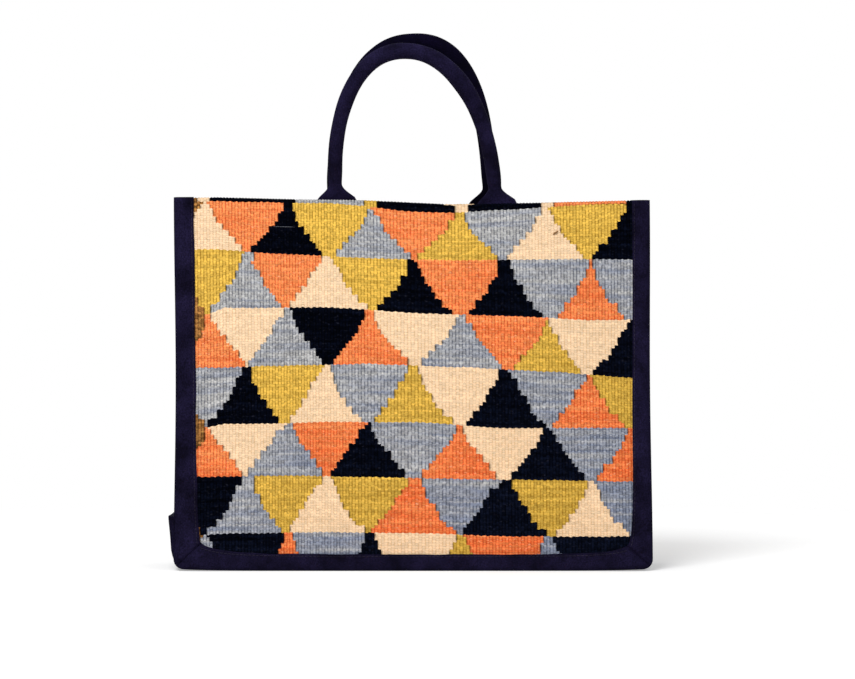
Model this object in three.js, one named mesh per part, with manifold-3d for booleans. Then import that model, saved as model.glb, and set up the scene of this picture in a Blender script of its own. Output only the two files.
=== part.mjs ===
// A kilim bag: two woven panels with mitred navy borders, a gusset that pleats inwards at the sides,
// a wear strip under the base, a stiff base board, a hanging lining and two rolled handles.
// Millimetres, +Z up, the front faces -Y, and the origin is on the floor under the middle of the base.
import * as THREE from 'three';
import { mergeVertices } from 'three/addons/utils/BufferGeometryUtils.js';
import Module from 'manifold-3d';

const wasm = await Module();
wasm.setup();

// Body without the handles
const BODY_WIDTH = 400;
const BODY_HEIGHT = 312;
const BASE_DEPTH = 88;
const MOUTH_DEPTH = 56;
const CORNER_RADIUS = 8;

// Air between pieces that touch
const CLEARANCE = 0.3;

// Thickness of each cloth and of the board
const KILIM_CLOTH = 2.4;
const BORDER_CLOTH = 1.6;
const GUSSET_CLOTH = 2;
const STRIP_CLOTH = 2;
const LINING_CLOTH = 1;
const BOARD = 3;

// Borders: width on the face at the sides and at the bottom, and the width turned onto the gusset
const SIDE_BORDER = 16;
const BASE_BORDER = 14;
const BORDER_RETURN = 14;

// Hem of a panel: how far it is turned in, the air inside its fold,
// and the height over which the gusset eases to it
const HEM_DEPTH = 30;
const HEM_GAP = 0.6;
const HEM_EASE = 10;

// Height to which the ends of the wear strip are turned up
const STRIP_TURN_UP = 45;

// Lining: distance from the rim down to its top edge, and its flat corner beside each pleat
const LINING_DROP = 12;
const PLEAT_SHOULDER = 3;

// Handles: distance between the legs, rise from the rim to the crown, thickness, and how square the arch is
const HANDLE_SPREAD = 130;
const HANDLE_RISE = 140;
const HANDLE_DIAMETER = 12.6;
const HANDLE_SQUARENESS = 2.4;

// The flat tab at each end of a handle, and the height over which the roll opens into it
const TAB_WIDTH = 36;
const TAB_THICKNESS = 2.4;
const TAB_DEPTH = 34;
const FLARE_HEIGHT = 14;

// How far each handle leans outwards from the mouth, and the length over which it bends
const FRONT_HANDLE_LEAN = THREE.MathUtils.degToRad(33);
const BACK_HANDLE_LEAN = THREE.MathUtils.degToRad(2);
const LEAN_BEND = 20;

// How far the crown of each handle has settled to the right, seen from its own side of the bag
const FRONT_CROWN_SHIFT = -6;
const BACK_CROWN_SHIFT = -3;

// Fineness of the round shapes
const CORNER_STEPS = 4;
const FOLD_STEPS = 6;
const FLARE_STEPS = 5;
const CROWN_STEPS = 28;
const HANDLE_SIDES = 12;

// Depth of each layer behind the outer face of the border, from the front of the bag inwards
const PANEL_FACE = BORDER_CLOTH + CLEARANCE;
const PANEL_BACK = PANEL_FACE + KILIM_CLOTH;
const HEM_FACE = PANEL_BACK + HEM_GAP;
const HEM_BACK = HEM_FACE + KILIM_CLOTH;
const TAB_MIDDLE = HEM_BACK + CLEARANCE + TAB_THICKNESS / 2;
const LINING_FACE = TAB_MIDDLE + TAB_THICKNESS / 2 + CLEARANCE;
const LINING_BACK = LINING_FACE + LINING_CLOTH;

// Distance of each layer from the floor, and from the ends of the bag
const GUSSET_FACE = STRIP_CLOTH + CLEARANCE;
const GUSSET_BACK = GUSSET_FACE + GUSSET_CLOTH;
const BOARD_FACE = GUSSET_BACK + CLEARANCE;
const LINING_FLOOR = BOARD_FACE + BOARD + CLEARANCE;

// The square corners of the raw panel stay inside the rounded corners of the border
const PANEL_INSET = CORNER_RADIUS - (CORNER_RADIUS - BORDER_CLOTH - CLEARANCE) * Math.SQRT1_2;

// The panels lean together, so the bag is shallower the higher it is measured
const PANEL_SLOPE = (BASE_DEPTH - MOUTH_DEPTH) / (2 * BODY_HEIGHT);
const halfDepth = (height) => BASE_DEPTH / 2 - PANEL_SLOPE * height;

// Half of the gap between the returns of the two borders, and half of the side that is free to pleat
const halfGap = (height) => halfDepth(height) - BORDER_RETURN;
const halfPleat = (height) => halfDepth(height) - LINING_BACK - PLEAT_SHOULDER;

// The pleat takes up the width that the side loses above the wear strip
function pleatDepth(height) {
  const spare = halfPleat(STRIP_TURN_UP) ** 2 - halfPleat(height) ** 2;
  return Math.sqrt(Math.max(0, spare));
}

// Below the hems the edges of the gusset lie on the panels, and beside the hems they lie on the hems
const HEM_BOTTOM = BODY_HEIGHT - HEM_DEPTH - CLEARANCE;
const HEM_APPROACH = HEM_BOTTOM - HEM_EASE;
function gussetEdge(height) {
  const beside = THREE.MathUtils.clamp((height - HEM_APPROACH) / HEM_EASE, 0, 1);
  return THREE.MathUtils.lerp(PANEL_BACK, HEM_BACK, beside) + CLEARANCE;
}

// Heights at which the pleated cloth is given its section, closer together where the pleat begins
const LINING_TOP = BODY_HEIGHT - LINING_DROP;
const foldHeights = Array.from(
  { length: FOLD_STEPS + 1 },
  (_, i) => STRIP_TURN_UP + (HEM_APPROACH - STRIP_TURN_UP) * (i / FOLD_STEPS) ** 2,
);
foldHeights.push(HEM_BOTTOM, LINING_TOP);

const NAVY = { color: 0x1c1830, roughness: 0.9, metalness: 0 };
const KILIM = { color: 0xb98a5c, roughness: 0.95, metalness: 0 };
const COTTON = { color: 0x8d8474, roughness: 0.95, metalness: 0 };
const GREYBOARD = { color: 0x6e675c, roughness: 0.9, metalness: 0 };

function mesh(name, geometry, finish) {
  const piece = new THREE.Mesh(geometry, new THREE.MeshStandardMaterial(finish));
  piece.name = name;
  return piece;
}

// Joins and cuts

function solidFrom(geometry) {
  const bare = geometry.clone();
  bare.deleteAttribute('normal');
  bare.deleteAttribute('uv');
  const merged = mergeVertices(bare);
  const vertProperties = merged.attributes.position.array;
  const triVerts = Uint32Array.from(merged.index.array);
  return new wasm.Manifold(new wasm.Mesh({ numProp: 3, vertProperties, triVerts }));
}

function geometryFrom(solid) {
  const { vertProperties, triVerts } = solid.getMesh();
  const geometry = new THREE.BufferGeometry();
  geometry.setAttribute('position', new THREE.BufferAttribute(vertProperties, 3));
  geometry.setIndex(new THREE.BufferAttribute(triVerts, 1));
  geometry.computeVertexNormals();
  return geometry;
}

// Extrusions

// An outline in X and Z, made thick along Y from the front plane inwards
function fromElevation(shape, thickness) {
  const geometry = new THREE.ExtrudeGeometry(shape, {
    depth: thickness,
    bevelEnabled: false,
    curveSegments: CORNER_STEPS,
  });
  return geometry.rotateX(Math.PI / 2).translate(0, thickness, 0);
}

// An outline in Y and Z, made wide along X about the middle of the bag
function fromSection(shape, width) {
  const geometry = new THREE.ExtrudeGeometry(shape, {
    depth: width,
    bevelEnabled: false,
    curveSegments: CORNER_STEPS,
  });
  const sideways = new THREE.Matrix4().makeBasis(
    new THREE.Vector3(0, 1, 0),
    new THREE.Vector3(0, 0, 1),
    new THREE.Vector3(1, 0, 0),
  );
  return geometry.translate(0, 0, -width / 2).applyMatrix4(sideways);
}

// Stands a piece of the front, made with Y as its depth behind the border, on its leaning plane
const ontoFront = new THREE.Matrix4()
  .makeTranslation(0, -BASE_DEPTH / 2, 0)
  .multiply(new THREE.Matrix4().makeShear(0, 0, 0, 0, 0, PANEL_SLOPE));

// A closed skin through rings of points, with a flat cap on the first ring and the last.
// Each ring has its points in space and the same points as a flat outline.
// Every patch is split along its shorter diagonal, so skins that lie on each other stay parallel.
function loft(rings) {
  const count = rings[0].points.length;
  const corners = rings.flatMap((ring) => ring.points);
  const faces = [];
  for (let r = 0; r + 1 < rings.length; r += 1) {
    for (let i = 0; i < count; i += 1) {
      const a = r * count + i;
      const b = r * count + ((i + 1) % count);
      const c = b + count;
      const d = a + count;
      if (corners[a].distanceTo(corners[c]) < corners[b].distanceTo(corners[d])) {
        faces.push(a, b, c, a, c, d);
      } else {
        faces.push(a, b, d, b, c, d);
      }
    }
  }
  const last = (rings.length - 1) * count;
  for (const [a, b, c] of THREE.ShapeUtils.triangulateShape(rings[0].outline, [])) {
    faces.push(a, c, b);
  }
  for (const [a, b, c] of THREE.ShapeUtils.triangulateShape(rings.at(-1).outline, [])) {
    faces.push(last + a, last + b, last + c);
  }
  const geometry = new THREE.BufferGeometry();
  geometry.setFromPoints(corners);
  geometry.setIndex(faces);
  geometry.computeVertexNormals();
  return geometry;
}

// A row of points moved sideways by one distance, with its corners mitred
function offsetPath(points, distance) {
  const normals = points.slice(1).map((point, i) => {
    const along = point.clone().sub(points[i]).normalize();
    return new THREE.Vector2(-along.y, along.x);
  });
  return points.map((point, i) => {
    const before = normals[Math.max(0, i - 1)];
    const after = normals[Math.min(normals.length - 1, i)];
    const mitre = before.clone().add(after).normalize();
    return point.clone().addScaledVector(mitre, distance / mitre.dot(after));
  });
}

// Panels and borders

// Section of a panel: one ply from its raw lower edge to the rim, folded over and turned down inside
function panel() {
  const foldRadius = (HEM_BACK - PANEL_FACE) / 2;
  const foldHeight = BODY_HEIGHT - foldRadius;
  const foldMiddle = PANEL_FACE + foldRadius;
  const section = new THREE.Shape();
  section.moveTo(PANEL_FACE, PANEL_INSET);
  section.lineTo(PANEL_BACK, PANEL_INSET);
  section.lineTo(PANEL_BACK, foldHeight);
  section.absarc(foldMiddle, foldHeight, HEM_GAP / 2, Math.PI, 0, true);
  section.lineTo(HEM_FACE, BODY_HEIGHT - HEM_DEPTH);
  section.lineTo(HEM_BACK, BODY_HEIGHT - HEM_DEPTH);
  section.lineTo(HEM_BACK, foldHeight);
  section.absarc(foldMiddle, foldHeight, foldRadius, 0, Math.PI, false);
  section.closePath();
  return fromSection(section, BODY_WIDTH - 2 * PANEL_INSET).applyMatrix4(ontoFront);
}

// Down one side, round the bottom and up the other, set in from the edge of the bag
function traceEdge(path, inset, height) {
  const side = BODY_WIDTH / 2 - inset;
  const bend = BODY_WIDTH / 2 - CORNER_RADIUS;
  const radius = CORNER_RADIUS - inset;
  path.moveTo(-side, height);
  path.lineTo(-side, CORNER_RADIUS);
  path.absarc(-bend, CORNER_RADIUS, radius, Math.PI, 1.5 * Math.PI, false);
  path.absarc(bend, CORNER_RADIUS, radius, 1.5 * Math.PI, 2 * Math.PI, false);
  path.lineTo(side, height);
  return path;
}

// A band of cloth that follows the edge of the bag up to a height on both sides
function edgeBand(thickness, height) {
  const outer = traceEdge(new THREE.Path(), 0, height).getPoints(CORNER_STEPS);
  const inner = traceEdge(new THREE.Path(), thickness, height).getPoints(CORNER_STEPS);
  return new THREE.Shape([...outer, ...inner.toReversed()]);
}

// The face of the border, with a square inner edge
function borderFace() {
  const inner = BODY_WIDTH / 2 - SIDE_BORDER;
  const shape = traceEdge(new THREE.Shape(), 0, BODY_HEIGHT);
  shape.lineTo(inner, BODY_HEIGHT);
  shape.lineTo(inner, BASE_BORDER);
  shape.lineTo(-inner, BASE_BORDER);
  shape.lineTo(-inner, BODY_HEIGHT);
  shape.closePath();
  return fromElevation(shape, BORDER_CLOTH);
}

// The mitre at the lower right corner, moved to one side of the seam and run on past the border
function mitreLine(shift) {
  const along = new THREE.Vector2(-SIDE_BORDER, BASE_BORDER);
  const across = new THREE.Vector2(BASE_BORDER, SIDE_BORDER).normalize();
  const corner = new THREE.Vector2(BODY_WIDTH / 2, 0).addScaledVector(across, shift);
  const outside = corner.clone().sub(along);
  const inside = corner.clone().addScaledVector(along, 2);
  return { outside, inside };
}

const mirrored = (points) => points.map((point) => new THREE.Vector2(-point.x, point.y));

// The border cut into its right, left and base strips along the mitres
function borderStrips() {
  const wall = fromElevation(edgeBand(BORDER_CLOTH, BODY_HEIGHT), BORDER_RETURN);
  const whole = solidFrom(borderFace()).add(solidFrom(wall));
  const upper = mitreLine(CLEARANCE / 2);
  const lower = mitreLine(-CLEARANCE / 2);
  const top = BODY_HEIGHT + BASE_BORDER;
  const rightRegion = [
    upper.outside,
    new THREE.Vector2(upper.outside.x, top),
    new THREE.Vector2(upper.inside.x, top),
    upper.inside,
  ];
  const baseRegion = [lower.outside, lower.inside, ...mirrored([lower.inside, lower.outside])];
  const strip = (region) => {
    const cutter = fromElevation(new THREE.Shape(region), BORDER_RETURN + BORDER_CLOTH);
    const cut = whole.intersect(solidFrom(cutter));
    return geometryFrom(cut).applyMatrix4(ontoFront);
  };
  return { right: strip(rightRegion), left: strip(mirrored(rightRegion)), base: strip(baseRegion) };
}

// Gusset, wear strip, board and lining

// The outer face of the gusset across the bag at one height: flat beside the panels, pleated in the middle
function gussetPath(height) {
  const edge = halfDepth(height) - gussetEdge(height);
  const shoulder = halfPleat(height);
  return [
    new THREE.Vector2(-edge, 0),
    new THREE.Vector2(-shoulder, 0),
    new THREE.Vector2(0, pleatDepth(height)),
    new THREE.Vector2(shoulder, 0),
    new THREE.Vector2(edge, 0),
  ];
}

// One section of the gusset at a place on its run, thick towards the inside of the bag
function gussetRing(x, height, inwards) {
  const face = gussetPath(height);
  const outline = [...face, ...offsetPath(face, GUSSET_CLOTH).reverse()];
  const points = outline.map(
    ({ x: y, y: depth }) => new THREE.Vector3(x + inwards.x * depth, y, height + inwards.y * depth),
  );
  return { points, outline };
}

function gusset() {
  const side = GUSSET_FACE - BODY_WIDTH / 2;
  const bend = CORNER_RADIUS - BODY_WIDTH / 2;
  const radius = CORNER_RADIUS - GUSSET_FACE;
  const top = BODY_HEIGHT - CLEARANCE;
  const leftHalf = [top, ...foldHeights.toReversed()].map((height) => ({
    x: side,
    height,
    inwards: new THREE.Vector2(1, 0),
  }));
  for (let i = 0; i <= CORNER_STEPS; i += 1) {
    const turn = ((Math.PI / 2) * i) / CORNER_STEPS;
    const inwards = new THREE.Vector2(Math.cos(turn), Math.sin(turn));
    leftHalf.push({
      x: bend - radius * inwards.x,
      height: CORNER_RADIUS - radius * inwards.y,
      inwards,
    });
  }
  const rightHalf = leftHalf.toReversed().map(({ x, height, inwards }) => ({
    x: -x,
    height,
    inwards: new THREE.Vector2(-inwards.x, inwards.y),
  }));
  return loft([...leftHalf, ...rightHalf].map((at) => gussetRing(at.x, at.height, at.inwards)));
}

// The wear strip lies between the returns of the borders, so it narrows as the bag does
function baseStrip() {
  const halfWidth = halfGap(0) - CLEARANCE;
  const geometry = fromElevation(edgeBand(STRIP_CLOTH, STRIP_TURN_UP), 2 * halfWidth);
  geometry.translate(0, -halfWidth, 0);
  const position = geometry.attributes.position;
  for (let i = 0; i < position.count; i += 1) {
    const narrower = (halfGap(position.getZ(i)) - CLEARANCE) / halfWidth;
    position.setY(i, position.getY(i) * narrower);
  }
  return geometry;
}

function baseBoard() {
  const depth = 2 * (halfDepth(BOARD_FACE + BOARD) - PANEL_BACK - CLEARANCE);
  const geometry = new THREE.BoxGeometry(BODY_WIDTH - 2 * CORNER_RADIUS, depth, BOARD);
  return geometry.translate(0, 0, BOARD_FACE + BOARD / 2);
}

// How far the rounded lower corner of a layer, set in from the edge of the bag, reaches in at one height
function cornerReach(inset, height) {
  const radius = CORNER_RADIUS - inset;
  const below = Math.max(0, CORNER_RADIUS - height);
  return radius - Math.sqrt(Math.max(0, radius ** 2 - below ** 2));
}

// One level of the lining: its front and back follow the panels, its ends follow the pleats and the corners
function liningRing(height, behindBorder, besideGusset) {
  const [, shoulder, crease] = offsetPath(gussetPath(height), GUSSET_CLOTH + besideGusset);
  const side = BODY_WIDTH / 2 - GUSSET_FACE - cornerReach(GUSSET_BACK + besideGusset, height);
  const back = halfDepth(height) - behindBorder;
  const rightEnd = [
    new THREE.Vector2(side - shoulder.y, -back),
    new THREE.Vector2(side - shoulder.y, shoulder.x),
    new THREE.Vector2(side - crease.y, 0),
    new THREE.Vector2(side - shoulder.y, -shoulder.x),
    new THREE.Vector2(side - shoulder.y, back),
  ];
  const leftEnd = rightEnd.map((point) => point.clone().negate());
  const outline = [...rightEnd, ...leftEnd];
  return { points: outline.map((point) => new THREE.Vector3(point.x, point.y, height)), outline };
}

// An open inner bag: up its outside, over the top edge and down its inside
function lining() {
  const outside = [LINING_FLOOR, ...foldHeights].map((height) =>
    liningRing(height, LINING_FACE, CLEARANCE),
  );
  const floor = LINING_FLOOR + LINING_CLOTH;
  const inside = [floor, ...foldHeights].map((height) =>
    liningRing(height, LINING_BACK, CLEARANCE + LINING_CLOTH),
  );
  return loft([...outside, ...inside.toReversed()]);
}

// Handles

// A point of the flat arch of a handle, from the foot of its left leg at 0 to that of its right leg at pi
const ARCH_POWER = 2 / HANDLE_SQUARENESS;
function archPoint(turn, crownShift) {
  const across = Math.sign(Math.cos(turn)) * Math.abs(Math.cos(turn)) ** ARCH_POWER;
  const rise = Math.sin(turn) ** ARCH_POWER;
  return new THREE.Vector2((-HANDLE_SPREAD / 2) * across + crownShift * rise ** 2, HANDLE_RISE * rise);
}

// The turn at which the left leg reaches a height
const turnAt = (height) => Math.asin((height / HANDLE_RISE) ** (1 / ARCH_POWER));

// The flat line of a handle: up from one tab, over a square-shouldered arch and down to the other tab
function handleLine(crownShift) {
  const flare = Array.from({ length: FLARE_STEPS }, (_, i) => turnAt((FLARE_HEIGHT * i) / FLARE_STEPS));
  const start = turnAt(FLARE_HEIGHT);
  const crown = Array.from(
    { length: CROWN_STEPS + 1 },
    (_, i) => start + ((Math.PI - 2 * start) * i) / CROWN_STEPS,
  );
  const turns = [...flare, ...crown, ...flare.toReversed().map((turn) => Math.PI - turn)];
  const foot = (x) => new THREE.Vector2(x, -TAB_DEPTH);
  const arch = turns.map((turn) => archPoint(turn, crownShift));
  return [foot(-HANDLE_SPREAD / 2), ...arch, foot(HANDLE_SPREAD / 2)];
}

// Where a point of the flat line lies when the handle leans outwards above the rim
function leanPoint(height, lean) {
  const bent = THREE.MathUtils.clamp(height, 0, LEAN_BEND);
  const turn = (lean * bent) / LEAN_BEND;
  const radius = LEAN_BEND / lean;
  const below = Math.min(height, 0);
  const beyond = Math.max(height - LEAN_BEND, 0);
  const out = radius * (1 - Math.cos(turn)) + beyond * Math.sin(turn) - below * PANEL_SLOPE;
  const up = radius * Math.sin(turn) + beyond * Math.cos(turn) + below;
  return { out, up, turn };
}

// Section of a handle at a height: a flat tab below the rim that rolls up into a round above it
function handleSection(height) {
  const rolled = THREE.MathUtils.smoothstep(height, 0, FLARE_HEIGHT);
  const halfWidth = THREE.MathUtils.lerp(TAB_WIDTH, HANDLE_DIAMETER, rolled) / 2;
  const halfThickness = THREE.MathUtils.lerp(TAB_THICKNESS, HANDLE_DIAMETER, rolled) / 2;
  return Array.from({ length: HANDLE_SIDES }, (_, i) => {
    const turn = (2 * Math.PI * i) / HANDLE_SIDES;
    return new THREE.Vector2(halfWidth * Math.cos(turn), halfThickness * Math.sin(turn));
  });
}

function handle(lean, crownShift) {
  const root = halfDepth(BODY_HEIGHT) - TAB_MIDDLE;
  const line = handleLine(crownShift);
  const rings = line.map((place, i) => {
    const before = line[Math.max(0, i - 1)];
    const after = line[Math.min(line.length - 1, i + 1)];
    const along = after.clone().sub(before).normalize();
    const { out, up, turn } = leanPoint(place.y, lean);
    const upwards = new THREE.Vector3(0, -Math.sin(turn), Math.cos(turn));
    const outwards = new THREE.Vector3(0, -Math.cos(turn), -Math.sin(turn));
    const across = new THREE.Vector3(along.y, 0, 0).addScaledVector(upwards, -along.x);
    const centre = new THREE.Vector3(place.x, -root - out, BODY_HEIGHT + up);
    const outline = handleSection(place.y);
    const points = outline.map((point) =>
      centre.clone().addScaledVector(across, point.x).addScaledVector(outwards, -point.y),
    );
    return { points, outline };
  });
  return loft(rings);
}

// One face of the bag, built as the front: a panel, its border strips and its handle
function face(names, lean, crownShift) {
  const group = new THREE.Group();
  const strips = borderStrips();
  group.add(
    mesh(names.panel, panel(), KILIM),
    mesh(names.left, strips.left, NAVY),
    mesh(names.right, strips.right, NAVY),
    mesh(names.base, strips.base, NAVY),
    mesh(names.handle, handle(lean, crownShift), NAVY),
  );
  return group;
}

const front = face(
  {
    panel: 'front_panel',
    left: 'front_left_border',
    right: 'front_right_border',
    base: 'front_base_border',
    handle: 'front_handle',
  },
  FRONT_HANDLE_LEAN,
  FRONT_CROWN_SHIFT,
);

// The back is the same face turned round, so its left strip as built stands on the right
const back = face(
  {
    panel: 'back_panel',
    left: 'back_right_border',
    right: 'back_left_border',
    base: 'back_base_border',
    handle: 'back_handle',
  },
  BACK_HANDLE_LEAN,
  BACK_CROWN_SHIFT,
);
back.rotation.z = Math.PI;

const bag = new THREE.Group();
bag.add(
  front,
  back,
  mesh('gusset', gusset(), NAVY),
  mesh('base_strip', baseStrip(), NAVY),
  mesh('base_board', baseBoard(), GREYBOARD),
  mesh('lining', lining(), COTTON),
);

export default bag;
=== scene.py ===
"""A kilim bag in soft cloth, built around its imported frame.

Every piece is laid out on the straight bag of the frame first, with the front facing -Y. settle() then sags
the rim, bellies the faces and draws in the sides, so that pieces that lie on each other stay together."""
import math

import bmesh
import bpy
import numpy as np
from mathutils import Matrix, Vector


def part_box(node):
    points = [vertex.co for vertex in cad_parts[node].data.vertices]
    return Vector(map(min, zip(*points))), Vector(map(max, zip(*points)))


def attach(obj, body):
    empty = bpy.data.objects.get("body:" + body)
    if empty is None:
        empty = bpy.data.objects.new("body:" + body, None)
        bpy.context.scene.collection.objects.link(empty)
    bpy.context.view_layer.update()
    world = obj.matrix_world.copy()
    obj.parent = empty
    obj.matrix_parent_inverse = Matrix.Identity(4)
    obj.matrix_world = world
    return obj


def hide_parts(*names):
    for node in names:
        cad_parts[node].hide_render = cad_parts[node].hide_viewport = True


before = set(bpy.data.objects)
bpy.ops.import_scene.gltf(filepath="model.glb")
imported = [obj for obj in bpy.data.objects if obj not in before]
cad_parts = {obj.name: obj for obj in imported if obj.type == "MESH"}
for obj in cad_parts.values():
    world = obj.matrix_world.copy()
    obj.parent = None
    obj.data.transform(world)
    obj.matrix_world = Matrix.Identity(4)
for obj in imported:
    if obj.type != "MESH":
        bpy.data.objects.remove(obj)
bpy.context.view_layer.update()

MM = 0.001
TINY = 0.01 * MM

# The straight bag, read from the frame
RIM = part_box("front_panel")[1].z
HALF_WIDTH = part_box("base_strip")[1].x
PANEL_HALF_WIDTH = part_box("front_panel")[1].x
PANEL_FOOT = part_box("front_panel")[0].z
STRIP_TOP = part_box("base_strip")[1].z
STRIP_HALF_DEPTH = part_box("base_strip")[1].y
LINING_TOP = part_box("lining")[1].z
LINING_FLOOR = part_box("lining")[0].z
GUSSET_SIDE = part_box("gusset")[1].x
GUSSET_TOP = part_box("gusset")[1].z
GUSSET_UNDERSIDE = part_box("gusset")[0].z
HANDLE_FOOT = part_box("front_handle")[0].z

# Cloth: thickness, and depth of each layer behind the outer face of the border
KILIM_CLOTH = 2.4 * MM
BORDER_CLOTH = 1.6 * MM
GUSSET_CLOTH = 2 * MM
STRIP_CLOTH = 2 * MM
LINING_CLOTH = 1 * MM
PANEL_FACE = 1.9 * MM
HEM_BACK = 7.3 * MM
TAB_MIDDLE = 8.8 * MM
LINING_FACE = 10.3 * MM
LINING_BACK = LINING_FACE + LINING_CLOTH
HEM_DEPTH = 30 * MM

# How the cloth has settled. The front's rim rises and sags at places along it, and so does the back's, which
# sags a little more.
RIM_PLACES = np.array([-190, -165, -95, -40, 35, 105, 190]) * MM
RIM_RISES = np.array([2.2, 2.8, 1.1, 0.4, -3.8, -2.4, -0.3]) * MM
BACK_SAG = 1.3 * MM
SAG_START = 0.55
BELLY = 4 * MM
MOUTH_BOW = 3 * MM
EASE = 1.1 * MM
DRAW_IN = 1.4 * MM
MOUTH_LEAN = -1.3 * MM
CORNER_LIFT = 1.7 * MM
CORNER_REACH = 50 * MM

# Seeds of the random draws
WEAVE_SEED = 5
CLOTH_SEED = 3
LINE_SEED = 300
GUSSET_SEED = 31
STRIP_SEED = 41
LINING_SEED = 51


def smoothstep(low, high, value):
    share = np.clip((value - low) / (high - low), 0, 1)
    return share * share * (3 - 2 * share)


def bell(value):
    return np.exp(-(value**2))


def joined(*coordinates):
    """Points from their coordinates, which are first brought to one shape."""
    return np.stack(np.broadcast_arrays(*coordinates), axis=-1)


def ripple(seed, size, *places):
    """A smooth wander between about -1 and 1 over the coordinates, with bumps of about the given size."""
    rng = np.random.default_rng(seed)
    total = 0
    waves = 6
    for _ in range(waves):
        direction = rng.normal(size=len(places))
        angle = sum(d * place for d, place in zip(direction, places)) * 2 * np.pi / size
        total = total + np.sin(angle + rng.uniform(0, 2 * np.pi))
    return total / math.sqrt(2 * waves)


def face_line(node):
    """Where a front node's outer face would meet the floor, and how it leans."""
    points = np.array([vertex.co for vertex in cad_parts[node].data.vertices])
    heights = points[:, 2]
    foot, top = heights.min(), heights.max()
    y_foot = points[heights < foot + TINY][:, 1].min()
    y_top = points[heights > top - TINY][:, 1].min()
    slope = (y_top - y_foot) / (top - foot)
    return y_foot - slope * foot, slope


FACE_AT_FLOOR, FACE_SLOPE = face_line("front_left_border")


def half_depth(z):
    return -(FACE_AT_FLOOR + FACE_SLOPE * z)


def on_front(x, z, depth):
    """Points of the straight bag at a depth behind the front border's face."""
    return joined(x, depth - half_depth(z), z)


def as_laid(points):
    """Points of the front, left where they are."""
    return points


def turned_round(points):
    """Points of the front, carried to the back."""
    return points * (-1, -1, 1)


def settle(points):
    """Points of the straight bag, moved as its cloth has settled."""
    x, y, z = np.moveaxis(points, -1, 0)
    up = np.clip(z / RIM, 0, 1)
    side = np.clip(y / half_depth(np.minimum(z, RIM)), -1, 1)
    across = np.clip(x / HALF_WIDTH, -1, 1)
    middle = 1 - across**2
    near_rim = smoothstep(SAG_START, 1, up)
    front_rise = np.interp(x, RIM_PLACES, RIM_RISES)
    back_rise = np.interp(-x, RIM_PLACES, RIM_RISES) - BACK_SAG
    rise = front_rise + (back_rise - front_rise) * (side + 1) / 2
    corners = CORNER_LIFT * across**8 * np.exp(-z / CORNER_REACH)
    belly = BELLY * middle * np.sin(np.pi * up) - MOUTH_BOW * middle * near_rim
    draw_in = DRAW_IN * across**3 * np.sin(np.pi * up) ** 2
    sideways = EASE * across - draw_in + MOUTH_LEAN * up**2
    return joined(x + sideways, y + side * belly, z + near_rim * rise + corners)


# Meshes


def grid_faces(rows, columns, first=0, closed=False):
    """Quads over a grid of points, whose columns may close into rings."""
    span = columns if closed else columns - 1
    r, c = np.meshgrid(np.arange(rows - 1), np.arange(span), indexing="ij")
    a = first + r * columns + c
    b = first + r * columns + (c + 1) % columns
    return joined(a, a + columns, b + columns, b).reshape(-1, 4)


def turn_outward(mesh):
    """Turn the faces of a closed mesh outward."""
    shell = bmesh.new()
    shell.from_mesh(mesh)
    if shell.calc_volume(signed=True) < 0:
        mesh.flip_normals()
    shell.free()


def add_object(name, data):
    made = bpy.data.objects.new(name, data)
    bpy.context.scene.collection.objects.link(made)
    return made


def add_piece(name, points, faces, materials, node=None, face_materials=None):
    """A smooth closed mesh that rides on the bag and may stand for a CAD node."""
    mesh = bpy.data.meshes.new(name)
    mesh.from_pydata(points.reshape(-1, 3).tolist(), [], faces)
    turn_outward(mesh)
    for material in materials:
        mesh.materials.append(material)
    mesh.shade_smooth()
    if face_materials is not None:
        mesh.polygons.foreach_set("material_index", face_materials)
    piece = add_object(name, mesh)
    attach(piece, "root")
    if node:
        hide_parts(node)
    return piece


def tube(rings):
    """Points and faces of a closed skin through rings, with a cap on the first and on the last."""
    rows, columns = rings.shape[:2]
    faces = grid_faces(rows, columns, closed=True).tolist()
    faces.append(list(range(columns)))
    faces.append(list(range((rows - 1) * columns, rows * columns))[::-1])
    return rings.reshape(-1, 3), faces


def add_cloth(name, node, rings, material):
    """A closed piece through rings of points of the straight bag, settled with it."""
    points, faces = tube(settle(rings))
    return add_piece(name, points, faces, [material], node)


# Shader nodes

# Places of the sockets of a mix node that are used here, some of which share their names with others
MIX_SHARE = 0
MIX_FIRST = 6
MIX_SECOND = 7
MIX_RESULT = 2


def new_material(name):
    material = bpy.data.materials.new(name)
    material.use_nodes = True
    tree = material.node_tree
    return material, tree, tree.nodes["Principled BSDF"]


def feed(tree, node, inputs):
    """Feed a node's inputs with values or with other nodes' outputs."""
    for socket, value in inputs.items():
        if isinstance(value, bpy.types.NodeSocket):
            tree.links.new(value, node.inputs[socket])
        else:
            node.inputs[socket].default_value = value


def add_node(tree, kind, inputs, **settings):
    """The outputs of a new node."""
    node = tree.nodes.new(f"ShaderNode{kind}")
    for setting, value in settings.items():
        setattr(node, setting, value)
    feed(tree, node, inputs)
    return node.outputs


def calc(tree, operation, *values):
    return add_node(tree, "Math", dict(enumerate(values)), operation=operation)[0]


def place(tree, x, y, z=0.0):
    return add_node(tree, "CombineXYZ", {"X": x, "Y": y, "Z": z})[0]


def coordinates_of(tree, vector):
    return add_node(tree, "SeparateXYZ", {"Vector": vector})


def object_place(tree):
    return add_node(tree, "TexCoord", {})["Object"]


def noise(tree, vector, scale=1.0, detail=2.0, roughness=0.5):
    inputs = {"Vector": vector, "Scale": scale, "Detail": detail, "Roughness": roughness}
    return add_node(tree, "TexNoise", inputs)["Fac"]


def cell_value(tree, x, y):
    """A random value for each pair of whole numbers."""
    return add_node(tree, "TexWhiteNoise", {"Vector": place(tree, x, y)}, noise_dimensions="2D")["Value"]


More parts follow.
